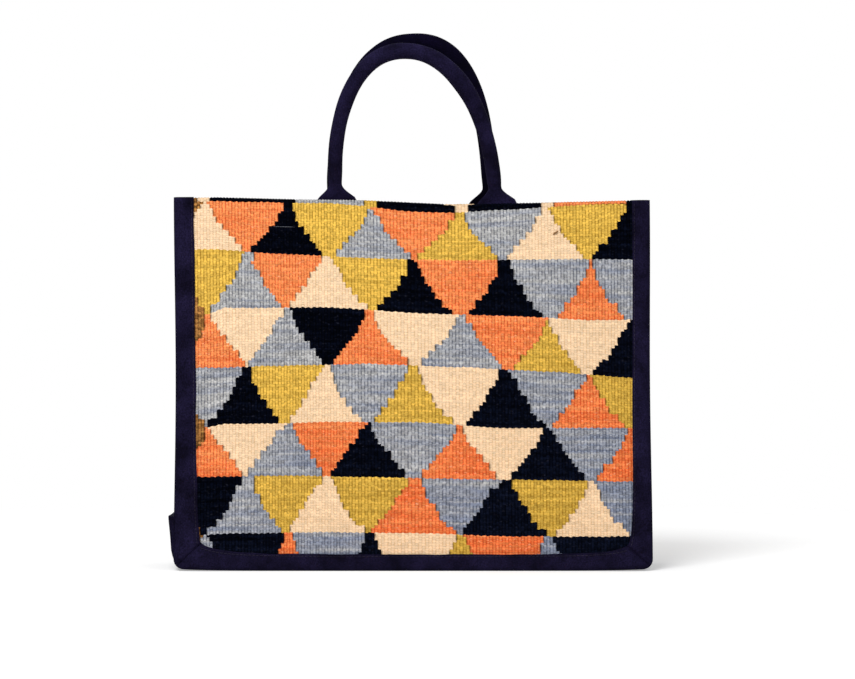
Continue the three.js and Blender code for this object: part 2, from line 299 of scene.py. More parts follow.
def off_middle(tree, value):
    """How far a value is from halfway between two whole numbers: 0 there, and 1 at each whole number."""
    return calc(tree, "ABSOLUTE", calc(tree, "MULTIPLY_ADD", calc(tree, "FRACT", value), 2.0, -1.0))


def spread(tree, value, low, high, to_low=0.0, to_high=1.0):
    inputs = {"Value": value, "From Min": low, "From Max": high, "To Min": to_low, "To Max": to_high}
    return add_node(tree, "MapRange", inputs)["Result"]


def rgba(colour):
    return colour if isinstance(colour, bpy.types.NodeSocket) else (*colour, 1)


def blend_colours(tree, share, first, second):
    inputs = {MIX_SHARE: share, MIX_FIRST: rgba(first), MIX_SECOND: rgba(second)}
    return add_node(tree, "Mix", inputs, data_type="RGBA")[MIX_RESULT]


def scale_colour(tree, colour, amount):
    return add_node(tree, "VectorMath", {0: colour, "Scale": amount}, operation="SCALE")[0]


def finish(tree, shader, colour, height, relief, roughness, specular):
    """Give a material its colour, a relief of some depth and its sheen."""
    normal = add_node(tree, "Bump", {"Strength": 1, "Distance": relief, "Height": height})["Normal"]
    inputs = {"Base Color": colour, "Normal": normal, "Roughness": roughness, "Specular IOR Level": specular}
    feed(tree, shader, inputs)


# Yarn: each noise is drawn out along the warps and along the rows, and has a layer of its own
WEAVE_MAP = "Weave"
SLIT_SHADE = "slit_shade"
DYE_NOISE = (0.035, 0.55, 0.0)
FLECK_NOISE = (0.7, 1.5, 7.0)
# DOT_NOISE places the painted shade in the grooves in dotted patches
DOT_NOISE = (1.1, 0.8, 3.0)
PICK_NOISE = (0.05, 2.2, 11.0)
RIGHTWARD_SHARE = 0.5
DOWN_RIGHT_STREAKING = 0.000007
PICK_OFFSET = 0.5
UNEVEN_PICKS = 0.15
GROOVE_SHARPNESS = 2.0
GAP_SHARPNESS = 3.0
MEAN_TONE = 1.06
# GAP_SHADE is painted shade between the picks
GAP_SHADE = 0.15
# SLIT_DARKNESS is painted shade in the slits
SLIT_DARKNESS = 0.95
GAP_RELIEF = 0.8
CELL_RELIEF = 0.5


def cloth_noise(tree, warp, row, drawn_out, detail):
    along_warps, along_rows, layer = drawn_out
    x = calc(tree, "MULTIPLY", warp, along_warps)
    y = calc(tree, "MULTIPLY", row, along_rows)
    return noise(tree, place(tree, x, y, layer), detail=detail)


def yarn_material(name, colour, streak, fleck, groove_shade, mottle):
    """Weft yarn packed over the warps: ribs, painted shade in dark dots in the grooves and between the picks,
    picks that alternate from rib to rib, flecks, and streaks of dye that grow stronger down and to the right.
    Streak, fleck and groove_shade are a colour and a strength each; the groove shade is painted shade."""
    streak_colour, most_streak = streak
    fleck_colour, most_fleck = fleck
    groove_shade_colour, ribs = groove_shade
    material, tree, shader = new_material(name)
    warp, row, _ = coordinates_of(tree, add_node(tree, "UVMap", {}, uv_map=WEAVE_MAP)["UV"])
    rib = calc(tree, "FLOOR", warp)
    pick = calc(tree, "ADD", row, calc(tree, "MULTIPLY", rib, PICK_OFFSET))
    groove_shade = calc(tree, "POWER", off_middle(tree, warp), GROOVE_SHARPNESS)
    gap = calc(tree, "POWER", off_middle(tree, pick), GAP_SHARPNESS)
    cell = cell_value(tree, rib, calc(tree, "FLOOR", pick))

    # Streaks grow stronger down and to the right, with the square of the rows and half the warps
    woven = calc(tree, "MULTIPLY_ADD", warp, RIGHTWARD_SHARE, row)
    down_right = calc(tree, "MULTIPLY", calc(tree, "POWER", woven, 2.0), DOWN_RIGHT_STREAKING)
    dye = calc(tree, "ADD", cloth_noise(tree, warp, row, DYE_NOISE, detail=4), down_right)
    streaks = spread(tree, dye, low=0.482, high=0.812, to_high=most_streak)
    flecks = cloth_noise(tree, warp, row, FLECK_NOISE, detail=3)
    flecks = spread(tree, flecks, low=0.6, high=0.7, to_high=most_fleck)
    dots = cloth_noise(tree, warp, row, DOT_NOISE, detail=1)
    dots = spread(tree, dots, low=0.36, high=0.56, to_low=0.1)
    # Painted shade in the grooves between warps, in dotted patches, blended toward the groove shade colour
    sunk = calc(tree, "MULTIPLY", calc(tree, "MULTIPLY", groove_shade, dots), ribs)
    streaked = blend_colours(tree, streaks, colour, streak_colour)
    groove_shaded = blend_colours(tree, sunk, blend_colours(tree, flecks, streaked, fleck_colour), groove_shade_colour)

    vary = UNEVEN_PICKS * ribs
    uneven = cloth_noise(tree, warp, row, PICK_NOISE, detail=1)
    uneven = spread(tree, uneven, low=0.3, high=0.7, to_low=1 - vary, to_high=1 + vary)
    # Painted shade in the slits, from the slit_shade map
    slit = add_node(tree, "Attribute", {}, attribute_name=SLIT_SHADE)["Fac"]
    painted_slit_shade = calc(tree, "MULTIPLY_ADD", slit, -SLIT_DARKNESS, 1.0)
    tone = calc(tree, "MULTIPLY_ADD", cell, mottle, MEAN_TONE - mottle / 2)
    # Painted shade between the picks
    tone = calc(tree, "MULTIPLY_ADD", gap, -GAP_SHADE, tone)
    tone = calc(tree, "MULTIPLY", calc(tree, "MULTIPLY", tone, uneven), painted_slit_shade)
    dyed = scale_colour(tree, groove_shaded, tone)
    height = calc(tree, "MULTIPLY_ADD", gap, -GAP_RELIEF, calc(tree, "MULTIPLY", cell, CELL_RELIEF))
    finish(tree, shader, dyed, height, relief=0.3 * MM, roughness=0.95, specular=0.015)
    return material


# Each yarn's groove_shade colour is painted shade in the grooves between its warps
YARN_MATERIALS = {
    "N": yarn_material(
        "yarn_natural", (0.95, 0.70, 0.46), streak=((0.86, 0.60, 0.37), 0.5),
        fleck=((0.45, 0.27, 0.12), 0.45), groove_shade=((0.66, 0.34, 0.13), 0.58), mottle=0.2,
    ),
    "O": yarn_material(
        "yarn_orange", (0.95, 0.31, 0.10), streak=((0.74, 0.12, 0.03), 0.7),
        fleck=((0.97, 0.50, 0.30), 0.6), groove_shade=((0.56, 0.02, 0.003), 0.86), mottle=0.35,
    ),
    "Y": yarn_material(
        "yarn_ochre", (0.86, 0.535, 0.09), streak=((0.52, 0.32, 0.05), 0.8),
        fleck=((0.44, 0.29, 0.07), 0.6), groove_shade=((0.27, 0.12, 0.003), 0.86), mottle=0.4,
    ),
    "B": yarn_material(
        "yarn_blue", (0.485, 0.48, 0.475), streak=((0.155, 0.195, 0.305), 0.78),
        fleck=((0.72, 0.68, 0.62), 0.35), groove_shade=((0.04, 0.05, 0.08), 0.9), mottle=0.5,
    ),
    "K": yarn_material(
        "yarn_ink", (0.0005, 0.001, 0.0032), streak=((0.005, 0.0075, 0.0195), 0.55),
        fleck=((0.02, 0.02, 0.03), 0.6), groove_shade=((0.0002, 0.0003, 0.0008), 1.0), mottle=1.0,
    ),
    "T": yarn_material(
        "yarn_tobacco", (0.40, 0.18, 0.05), streak=((0.10, 0.04, 0.012), 0.9),
        fleck=((0.55, 0.36, 0.09), 0.8), groove_shade=((0.05, 0.02, 0.008), 1.0), mottle=1.0,
    ),
}
YARNS = "".join(YARN_MATERIALS)


# Other materials

NAP_LIGHT = 1.9
NAP_DARK = 0.6
COTTON_WAVE = 6000.0
COTTON_SHADE = 0.1
COTTON_RELIEF = 0.4
PULP_DARK = 0.6


def napped_material(name, colour, nap):
    """Brushed cloth or thread: a cloudy nap over fine fibres."""
    material, tree, shader = new_material(name)
    where = object_place(tree)
    clouds = noise(tree, where, scale=45, detail=4, roughness=0.6)
    fibres = noise(tree, where, scale=900, detail=3, roughness=0.7)
    lighter = tuple(min(1, NAP_LIGHT * part) for part in colour)
    darker = tuple(NAP_DARK * part for part in colour)
    clouded = blend_colours(tree, spread(tree, clouds, low=0.35, high=0.68), darker, lighter)
    tone = spread(tree, fibres, low=0.3, high=0.7, to_low=1 - nap, to_high=1 + nap)
    napped = scale_colour(tree, clouded, tone)
    finish(tree, shader, napped, fibres, relief=0.35 * MM, roughness=0.85, specular=0.03)
    return material


def cotton_material(name, colour):
    """Plain-woven cotton: crossing threads with slubs."""
    material, tree, shader = new_material(name)
    where = object_place(tree)
    x, y, z = coordinates_of(tree, where)
    across = calc(tree, "SINE", calc(tree, "MULTIPLY", calc(tree, "ADD", x, y), COTTON_WAVE))
    along = calc(tree, "SINE", calc(tree, "MULTIPLY", z, COTTON_WAVE))
    crossing = calc(tree, "MULTIPLY", across, along)
    slubs = noise(tree, where, scale=120, detail=4, roughness=0.65)
    slub_tone = spread(tree, slubs, low=0.3, high=0.7, to_low=0.82, to_high=1.12)
    tone = calc(tree, "MULTIPLY_ADD", crossing, COTTON_SHADE, slub_tone)
    woven = scale_colour(tree, colour, tone)
    height = calc(tree, "MULTIPLY_ADD", crossing, COTTON_RELIEF, slubs)
    finish(tree, shader, woven, height, relief=0.2 * MM, roughness=0.9, specular=0.2)
    return material


def board_material(name, colour):
    """Grey board with pulp specks."""
    material, tree, shader = new_material(name)
    pulp = noise(tree, object_place(tree), scale=700, detail=4, roughness=0.7)
    darker = tuple(PULP_DARK * part for part in colour)
    specked = blend_colours(tree, spread(tree, pulp, low=0.45, high=0.75), colour, darker)
    finish(tree, shader, specked, pulp, relief=0.1 * MM, roughness=0.85, specular=0.5)
    return material


NAVY_BORDER = napped_material("navy_border", (0.0062, 0.0048, 0.0168), nap=0.7)
NAVY_HANDLE = napped_material("navy_handle", (0.008, 0.0062, 0.022), nap=0.6)
# The back handle is the same navy cloth as the front one, painted darker as painted shade
NAVY_HANDLE_PAINTED_SHADE = napped_material("navy_handle_painted_shade", (0.0014, 0.0008, 0.0055), nap=0.5)
NAVY_THREAD = napped_material("navy_thread", (0.019, 0.016, 0.031), nap=0.3)
PALE_THREAD = napped_material("pale_thread", (0.1, 0.105, 0.12), nap=0.4)
BROWN_THREAD = napped_material("brown_thread", (0.27, 0.15, 0.065), nap=0.4)
LINING_COTTON = cotton_material("lining_cotton", (0.36, 0.33, 0.29))
GREYBOARD = board_material("greyboard", (0.43, 0.40, 0.36))


# Kilim panels

# The hem, by the length of cloth above the floor
FOLD_RADIUS = (HEM_BACK - PANEL_FACE) / 2
FOLD_START = RIM - FOLD_RADIUS
FOLD_END = FOLD_START + math.pi * FOLD_RADIUS
HEM_END = FOLD_END + HEM_DEPTH - FOLD_RADIUS
HEM_LINES = 9
ROWS_BELOW_FOLD = 2

# The weave. A column is as wide as half a triangle, and a level is one step of its slanted edges.
WARPS = 148
WARP_POINTS = 3
COLUMN_WARPS = 13.53
FIRST_COLUMN = 8.46
LEVELS = 7
LEVEL_HEIGHT = 6.6 * MM
LEVEL_VARY = 0.15
FOOT_LEVELS = 4
ROWS_PER_LEVEL = 3
APEX_WARPS = 1.7
BASE_WARPS = 11.5
FLARE_POWER = 1.4
SUB_STEPS = 0.45
RIB_DEPTH = 0.45 * MM
RIB_VARY = 0.05 * MM
SLIT_DEPTH = 1.3 * MM
# Painted shade in the slits: its faintest share, and the share painted beside each slit
FAINTEST_SLIT = 0.3
BESIDE_SLIT = 0.6
SCALLOP = 0.3 * MM
ROW_VARY = 0.1 * MM
LINE_WANDER = 0.25 * MM
LINE_WAVE = 0.9
DIP_COLUMNS = 0.5
DRIFT = -5.8 * MM
DRIFT_MIDDLE = -38 * MM
DRIFT_REACH = 105 * MM
COARSE_WARPS = 4
COARSE_ROWS = 40
BAKE_MAP = "OFBake"

# Heights of the bases of the triangles in millimetres, a line for each line of bases from the rim down
BASES = (
    (308.2, 308.6, 303.8, 306.2, 309.4),
    (268.3, 265.0, 262.5, 263.3, 263.1, 262.0),
    (220.1, 221.0, 216.8, 214.6, 210.6),
    (170.1, 172.2, 173.5, 170.7, 166.9, 161.8),
    (123.1, 124.7, 124.4, 119.6, 119.7),
    (78.7, 79.9, 78.5, 77.0, 76.0, 74.6),
    (31.4, 32.6, 31.6, 29.0, 28.7),
)

# How far each of those lines dips at the left edge of the panel, in millimetres
LEFT_DIPS = (0, 0, 5.6, 0, 2.6, 0, 1.5)

# The weaver's chart: the yarn of each triangle, a line for each row from the rim down, from left to right.
# Natural, orange, yellow, blue, ink and tobacco.
CHART = (
    "TNKKBYKNKNOK",
    "TNOKYBOYBNYK",
    "TYBONYKOKBOB",
    "TONBKONBOYNK",
    "TBKYNBYNKBOY",
    "TONBOKBONKBO",
    "TKBYNYOBKYNB",
    "TBKOBKNYOBKK",
)

# The slanted edges of each row, from left to right: how the upright triangle beside each one is drawn.
# Two warps short, one short, as usual, one past, two past or three past.
EDGE_MARKS = "<-.+>}"
USUAL_EDGE = EDGE_MARKS.index(".")
EDGES = (
    "............",
    "+.+.-++.+.+.",
    ">..>+.-..--.",
    "<+>....+--+.",
    ">+->-+-+++-.",
    "<.>.+-.-....",
    "++.}.>.}+...",
    "............",
)


def panel_points(x, length, offset):
    """Points of the panel at lengths of cloth, offset outward from its face, which folds down inside."""
    turn = np.clip((length - FOLD_START) / FOLD_RADIUS, 0, np.pi)
    inside = np.maximum(length - FOLD_END, 0)
    depth = PANEL_FACE + FOLD_RADIUS * (1 - np.cos(turn)) - offset * np.cos(turn)
    height = np.minimum(length, FOLD_START) + FOLD_RADIUS * np.sin(turn) - inside + offset * np.sin(turn)
    return on_front(x, height, depth)


def base_line(index, column):
    """Height of a line between two rows of triangles, where each base on it has a height of its own."""
    heights = np.array(BASES[index]) * MM
    base = np.clip((column - (index + 1) % 2) / 2, 0, len(heights) - 1)
    lower = np.minimum(base.astype(int), len(heights) - 2)
    share = (base - lower + smoothstep(0, 1, base - lower)) / 2
    wander = LINE_WANDER * ripple(LINE_SEED + index, LINE_WAVE, column)
    dip = LEFT_DIPS[index] * MM * (1 - smoothstep(0, DIP_COLUMNS, column))
    return heights[lower] + (heights[lower + 1] - heights[lower]) * share + wander - dip


def triangle_yarns(band, level, lag, column):
    """The yarn on each warp of one row: of an upright triangle or of the hanging one beside it."""
    first_upright = (band + 1) % 2
    upright = 2 * np.round((column - first_upright) / 2) + first_upright
    on_right = column > upright
    edge = np.clip(upright + on_right, 0, len(EDGES[band]) - 1).astype(int)
    drawn = np.array([EDGE_MARKS.index(mark) - USUAL_EDGE for mark in EDGES[band]])
    flare = (level / (LEVELS - 1)) ** FLARE_POWER
    beyond = np.where(level > 0, drawn[edge], np.minimum(drawn[edge], 0))
    half_width = APEX_WARPS + (BASE_WARPS - APEX_WARPS) * flare + beyond - lag[edge]
    away = np.abs(column - upright) * COLUMN_WARPS
    triangle = np.where(away < half_width, upright, np.where(on_right, upright + 1, upright - 1))
    triangle = np.clip(triangle, -1, len(CHART[0]) - 2).astype(int)
    return np.array([YARNS.index(yarn) for yarn in CHART[band]])[triangle + 1]


def weave_rows(column, warp_column):
    """Lengths of cloth at the lines between weft rows, from the hem's edge down, and each row's yarns."""
    rng = np.random.default_rng(WEAVE_SEED)
    edges = len(EDGES[0])
    no_lag = np.zeros(edges)
    lines = [base_line(i, column) for i in range(len(BASES))]
    hem = [*np.linspace(HEM_END, FOLD_END, HEM_LINES), *np.linspace(FOLD_END, FOLD_START, HEM_LINES)[1:]]
    lengths = [np.full_like(column, length) for length in hem]
    for row in range(1, ROWS_BELOW_FOLD + 1):
        lengths.append(FOLD_START + (lines[0] - FOLD_START) * (row / ROWS_BELOW_FOLD))
    yarns = []
    for upper, lower in zip(lengths, lengths[1:]):
        above = np.interp(warp_column, column, (upper + lower) / 2 - lines[0])
        level = LEVELS - 1 - np.floor(np.maximum(above, 0) / LEVEL_HEIGHT)
        yarns.append(triangle_yarns(0, level, no_lag, warp_column))
    for band in range(1, len(CHART)):
        last = band == len(CHART) - 1
        levels = FOOT_LEVELS if last else LEVELS
        below = np.full_like(column, PANEL_FOOT) if last else lines[band]
        heights = np.cumsum(rng.uniform(1 - LEVEL_VARY, 1 + LEVEL_VARY, levels))
        level_rows = np.arange(levels + 1) * ROWS_PER_LEVEL
        shares = np.interp(np.arange(levels * ROWS_PER_LEVEL) + 1, level_rows, [0, *heights / heights[-1]])
        for row, share in enumerate(shares):
            lengths.append(lines[band - 1] + (below - lines[band - 1]) * share)
            first_of_level = row % ROWS_PER_LEVEL == 0
            lag = rng.random(edges) < SUB_STEPS if first_of_level else no_lag
            yarns.append(triangle_yarns(band, row // ROWS_PER_LEVEL, lag, warp_column))
    return np.array(lengths), np.array(yarns)


def panel_relief(yarns, count, rng):
    """How far each point stands out: low between warps, lowest in slits. Also the painted shade in the slits.
    """
    between_warps = np.arange(count) % WARP_POINTS == 0
    relief = np.where(between_warps, -RIB_DEPTH, 0) + rng.normal(0, RIB_VARY, (len(yarns) + 1, count))
    changes = yarns[:, 1:] != yarns[:, :-1]
    slits = changes[1:] & changes[:-1]
    inner = slice(WARP_POINTS, -WARP_POINTS, WARP_POINTS)
    beside = slice(WARP_POINTS + 1, 1 - WARP_POINTS, WARP_POINTS)
    relief[1:-1, inner] -= np.where(slits, SLIT_DEPTH - RIB_DEPTH, 0)
    # Painted shade in the slits, and a share of it beside them
    shade = np.zeros_like(relief)
    shade[1:-1, inner] = slits * rng.uniform(FAINTEST_SLIT, 1, slits.shape)
    shade[1:-1, beside] = BESIDE_SLIT * shade[1:-1, inner]
    return relief, shade


def panel_faces(yarns, count, coarse_rows, coarse_columns):
    """Faces and their yarns: the woven side, then the plain inner side and the four edges."""
    rows = len(yarns) + 1
    fine = np.arange(rows * count).reshape(rows, count)
    coarse = fine.size + np.arange(len(coarse_rows) * len(coarse_columns)).reshape(len(coarse_rows), -1)
    faces = grid_faces(rows, count).tolist()
    faces += grid_faces(*coarse.shape, first=fine.size)[:, ::-1].tolist()
    face_yarns = np.repeat(yarns, WARP_POINTS, axis=1).ravel().tolist()
    face_yarns += yarns[np.ix_(coarse_rows[:-1], coarse_columns[:-1] // WARP_POINTS)].ravel().tolist()
    for i, (a, b) in enumerate(zip(coarse_columns, coarse_columns[1:])):
        faces.append([*fine[0, a:b + 1], coarse[0, i + 1], coarse[0, i]])
        faces.append([*fine[-1, a:b + 1][::-1], coarse[-1, i], coarse[-1, i + 1]])
        face_yarns += [yarns[0, a // WARP_POINTS], yarns[-1, a // WARP_POINTS]]
    for i, (a, b) in enumerate(zip(coarse_rows, coarse_rows[1:])):
        faces.append([*fine[a:b + 1, 0][::-1], coarse[i, 0], coarse[i + 1, 0]])
        faces.append([*fine[a:b + 1, -1], coarse[i + 1, -1], coarse[i, -1]])
        face_yarns += [yarns[a, 0], yarns[a, -1]]
    return faces, face_yarns


def add_map(mesh, name, corners):
    loops = np.zeros(len(mesh.loops), int)
    mesh.loops.foreach_get("vertex_index", loops)
    mesh.uv_layers.new(name=name).data.foreach_set("uv", corners[loops].ravel())


def kilim_panel(name, node, carry):
    """One woven panel: ribs over each warp, slits between colours, the top edge folded down inside."""
    rng = np.random.default_rng(CLOTH_SEED)
    count = WARP_POINTS * WARPS + 1
    point = np.arange(count)
    warp = point / WARP_POINTS
    column = (warp - FIRST_COLUMN) / COLUMN_WARPS
    warp_column = (np.arange(WARPS) + 0.5 - FIRST_COLUMN) / COLUMN_WARPS
    even = np.linspace(-PANEL_HALF_WIDTH, PANEL_HALF_WIDTH, count)
    drift = np.cos(np.clip((even - DRIFT_MIDDLE) / DRIFT_REACH, -1, 1) * np.pi / 2) ** 2
    x = even + DRIFT * drift
    lengths, yarns = weave_rows(column, warp_column)
    relief, shade = panel_relief(yarns, count, rng)
    alternating = np.where(point // WARP_POINTS % 2 == 0, 1, -1)
    scallops = np.where(point % WARP_POINTS == 0, 0, SCALLOP * alternating)
    woven = lengths + scallops + rng.normal(0, ROW_VARY, lengths.shape)
    woven[[0, -1]] = lengths[[0, -1]]

    coarse_rows = np.linspace(0, len(yarns), COARSE_ROWS + 1).round().astype(int)
    coarse_columns = np.arange(0, count, WARP_POINTS * COARSE_WARPS)
    coarse = np.ix_(coarse_rows, coarse_columns)
    outside = panel_points(x, woven, relief).reshape(-1, 3)
    inside = panel_points(x[coarse_columns], lengths[coarse], -KILIM_CLOTH).reshape(-1, 3)
    points = settle(carry(np.concatenate([outside, inside])))
    faces, face_yarns = panel_faces(yarns, count, coarse_rows, coarse_columns)
    piece = add_piece(name, points, faces, YARN_MATERIALS.values(), node, face_yarns)
    slit_shade = piece.data.attributes.new(SLIT_SHADE, "FLOAT", "POINT")
    slit_shade.data.foreach_set("value", np.concatenate([shade.ravel(), np.zeros(len(inside))]))
    weave = joined(warp, np.arange(len(lengths))[:, None])
    laid_flat = joined(warp / WARPS, lengths / HEM_END)
    for map_name, flat in ((WEAVE_MAP, weave), (BAKE_MAP, laid_flat)):
        add_map(piece.data, map_name, np.concatenate([flat.reshape(-1, 2), flat[coarse].reshape(-1, 2)]))


kilim_panel("woven_front_panel", "front_panel", as_laid)
kilim_panel("woven_back_panel", "back_panel", turned_round)


# Borders

SIDE_BORDER = 16 * MM
BASE_BORDER = 14 * MM
BORDER_RETURN = 14 * MM
EDGE_ROUND = 3.6 * MM
STATION_PITCH = 2.5 * MM

# Corners, at the fold and at the sewn edge, which sits a little to the right and widens there
CORNER_RADIUS = 8 * MM
CORNER_MIDDLE = 1.25 * np.pi
CORNER_HALF_TURN = np.pi / 4
INNER_CORNER_RADIUS = 3 * MM
FRAME_SHIFT = 1 * MM
SIDE_SPLAY = 5.6 * MM
SIDE_SPLAY_REACH = 60 * MM
BASE_SPLAY = 6 * MM
BASE_SPLAY_REACH = 28 * MM
RIGHT_SPLAY = 0.6
CORNER_FILL = 3 * MM
CORNER_FILL_REACH = 10 * MM
MITRE_CREASE = 1.4 * MM
MITRE_REACH = 1.2 * MM

# Swelling of the cloth, and its sewn edge
PLUMPNESS = 0.7 * MM
PLUMP_VARY = 0.35
PLUMP_WAVE = 90 * MM
PLUMP_POWER = 0.8
EDGE_WANDER = 0.35 * MM
EDGE_WAVE = 70 * MM
RIM_SINK = 0.5 * MM
SEAM_DEPTH = 0.35 * MM
SEAM_REACH = 0.7 * MM
PUCKER = 0.12 * MM
STITCH_INSET = 1.7 * MM
STITCH_LENGTH = 3.2 * MM
STITCH_PITCH = 3.6 * MM
STITCH_MARGIN = 4 * MM
STITCH_SINK = 0.15 * MM
THREAD_RADIUS = 0.4 * MM
THREAD_SIDES = 6
SEEDS_PER_STRIP = 10

# Points on each stretch of a strip's section
ROLL_POINTS = 6
FACE_POINTS = 12
TURN_POINTS = 7
RETURN_POINTS = 5
INNER_POINTS = 6


def border_profile(width):
    """Section of a border strip as a closed loop: share of its width, depth, which points are on the outside,
    how far they swell and how near the seam they are."""
    half = BORDER_CLOTH / 2
    bend_middle = width - EDGE_ROUND
    inner_radius = EDGE_ROUND - BORDER_CLOTH
    roll = np.linspace(np.pi / 2, -np.pi / 2, ROLL_POINTS)
    face = np.linspace(half, bend_middle, FACE_POINTS)[1:]
    turn = np.linspace(0, np.pi / 2, TURN_POINTS)[1:]
    side = np.linspace(EDGE_ROUND, BORDER_RETURN - half, RETURN_POINTS)[1:]
    end = np.linspace(0, np.pi, RETURN_POINTS)[1:]
    inner_turn = np.linspace(np.pi / 2, 0, RETURN_POINTS)
    inner_face = np.linspace(bend_middle, half, INNER_POINTS)[1:-1]
    stretches = (
        (half - half * np.cos(roll), half + half * np.sin(roll)),
        (face, 0),
        (bend_middle + EDGE_ROUND * np.sin(turn), EDGE_ROUND - EDGE_ROUND * np.cos(turn)),
        (width, side),
        (width - half + half * np.cos(end), BORDER_RETURN - half + half * np.sin(end)),
        (bend_middle + inner_radius * np.sin(inner_turn), EDGE_ROUND - inner_radius * np.cos(inner_turn)),
        (inner_face, BORDER_CLOTH),
    )
    distance, depth = np.concatenate([joined(*stretch) for stretch in stretches]).T
    outer = np.zeros_like(distance)
    outer[ROLL_POINTS // 2:ROLL_POINTS + len(face) + len(turn) + len(side)] = 1
    swell = outer * np.sin(np.pi * np.clip(distance / width, 0, 1)) ** PLUMP_POWER
    seam = outer * bell((distance - STITCH_INSET) / SEAM_REACH)
    return distance / width, depth, outer, swell, seam


def side_path(inset, foot, radius, share):
    """Points from the middle of a lower left corner up to the rim, at shares of the way."""
    arc = radius * CORNER_HALF_TURN
    straight = RIM - foot - radius
    way = share * (arc + straight)
    turn = CORNER_MIDDLE - np.minimum(way, arc) / radius
    beyond = np.maximum(way - arc, 0)
    x = inset - HALF_WIDTH + radius + radius * np.cos(turn)
    return joined(x, foot + radius + radius * np.sin(turn) + beyond)


def base_path(inset, foot, radius, share):
    """Points from the middle of the lower left corner along the base to the middle of the lower right one."""
    bend = HALF_WIDTH - inset - radius
    arc = radius * CORNER_HALF_TURN
    way = share * (2 * arc + 2 * bend)
    start = CORNER_MIDDLE + np.minimum(way, arc) / radius
    end = np.maximum(way - arc - 2 * bend, 0) / radius
    along = np.clip(way - arc, 0, 2 * bend)
    turn = start + end
    return joined(-bend + along + radius * np.cos(turn), foot + radius + radius * np.sin(turn))


def mirrored_path(inset, foot, radius, share):
    return side_path(inset, foot, radius, share) * (-1, 1)


def fold_line(path, share):
    return path(0, 0, CORNER_RADIUS, share)


def sewn_line(path, share):
    """The sewn edge of a border strip, which widens the strip at the lower corners."""
    x, z = path(SIDE_BORDER, BASE_BORDER, INNER_CORNER_RADIUS, share).T
    way = HALF_WIDTH - SIDE_BORDER - np.abs(x) + z - BASE_BORDER
    splay = np.where(x < 0, 1, RIGHT_SPLAY)
    fill = CORNER_FILL * np.exp(-way / CORNER_FILL_REACH)
    inwards = splay * SIDE_SPLAY * np.exp(-way / SIDE_SPLAY_REACH) + np.where(x < 0, 0, fill)
    upwards = splay * BASE_SPLAY * np.exp(-way / BASE_SPLAY_REACH) + fill
    return joined(x + FRAME_SHIFT - np.sign(x) * inwards, z + upwards)


def stitch_ends(carry, path, width, length, way, fullness):
    """Where the stitches along a border strip start, and where they end."""
    middles = np.arange(STITCH_MARGIN, length - STITCH_MARGIN, STITCH_PITCH)
    ends = []
    for at in (middles - STITCH_LENGTH / 2, middles + STITCH_LENGTH / 2):
        edge = sewn_line(path, at / length)
        line = edge + (fold_line(path, at / length) - edge) * STITCH_INSET / width
        swelling = np.interp(at, way, fullness) * math.sin(math.pi * STITCH_INSET / width) ** PLUMP_POWER
        ends.append(settle(carry(on_front(line[:, 0], line[:, 1], STITCH_SINK - swelling))))
    return ends


def border_strip(name, node, carry, path, width, length, mitres, seed):
    """One border strip: folded cloth, plump between its sewn edge and its fold, creased at its mitres."""
    share = np.linspace(0, 1, int(length / STATION_PITCH))
    way = share * length
    sewn = sewn_line(path, share)
    across, depth, outer, swell, seam = border_profile(width)
    from_mitre = np.minimum(way, length - way) if mitres == 2 else way
    crease = MITRE_CREASE * bell(from_mitre / MITRE_REACH)
    fullness = PLUMPNESS * (1 + PLUMP_VARY * ripple(seed, PLUMP_WAVE, way))
    wander = EDGE_WANDER * ripple(seed + 1, EDGE_WAVE, way) / width
    puckers = PUCKER * np.sin(2 * np.pi * way / STITCH_PITCH)
    share_across = across + wander[:, None] * (1 - across)
    flat = sewn[:, None, :] + (fold_line(path, share) - sewn)[:, None, :] * share_across[..., None]
    sunk = depth - swell * fullness[:, None] + outer * (1 - across**6) * crease[:, None]
    sunk = sunk + seam * (SEAM_DEPTH + puckers[:, None])
    if mitres == 1:
        sunk[-1] += RIM_SINK * outer
    rings = carry(on_front(flat[..., 0], flat[..., 1], sunk))
    piece = add_cloth(name, node, rings, NAVY_BORDER)
    return stitch_ends(carry, path, width, length, way, fullness)


def threads(name, starts, ends, outward, radius, material):
    """Short threads, each of which rises out of the cloth and sinks back into it."""
    along = np.array([0, 0.2, 0.5, 0.8, 1])
    thickness = np.array([0.4, 0.9, 1, 0.9, 0.4]) * radius
    rise = np.array([-0.8, 0.3, 0.6, 0.3, -0.8]) * radius
    turn = np.linspace(0, 2 * np.pi, THREAD_SIDES, endpoint=False)
    direction = ends - starts
    direction = direction / np.linalg.norm(direction, axis=1, keepdims=True)
    sideways = np.cross(direction, outward)
    middle = starts[:, None] + (ends - starts)[:, None] * along[None, :, None]
    middle = middle + rise[None, :, None] * outward
    ring = np.cos(turn)[:, None] * outward + np.sin(turn)[:, None] * sideways[:, None, :]
    points = middle[:, :, None, :] + thickness[None, :, None, None] * ring[:, None, :, :]
    one = tube(points[0])[1]
    step = points[0].size // 3
    faces = [[corner + i * step for corner in face] for i in range(len(points)) for face in one]
    add_piece(name, points, faces, [material])


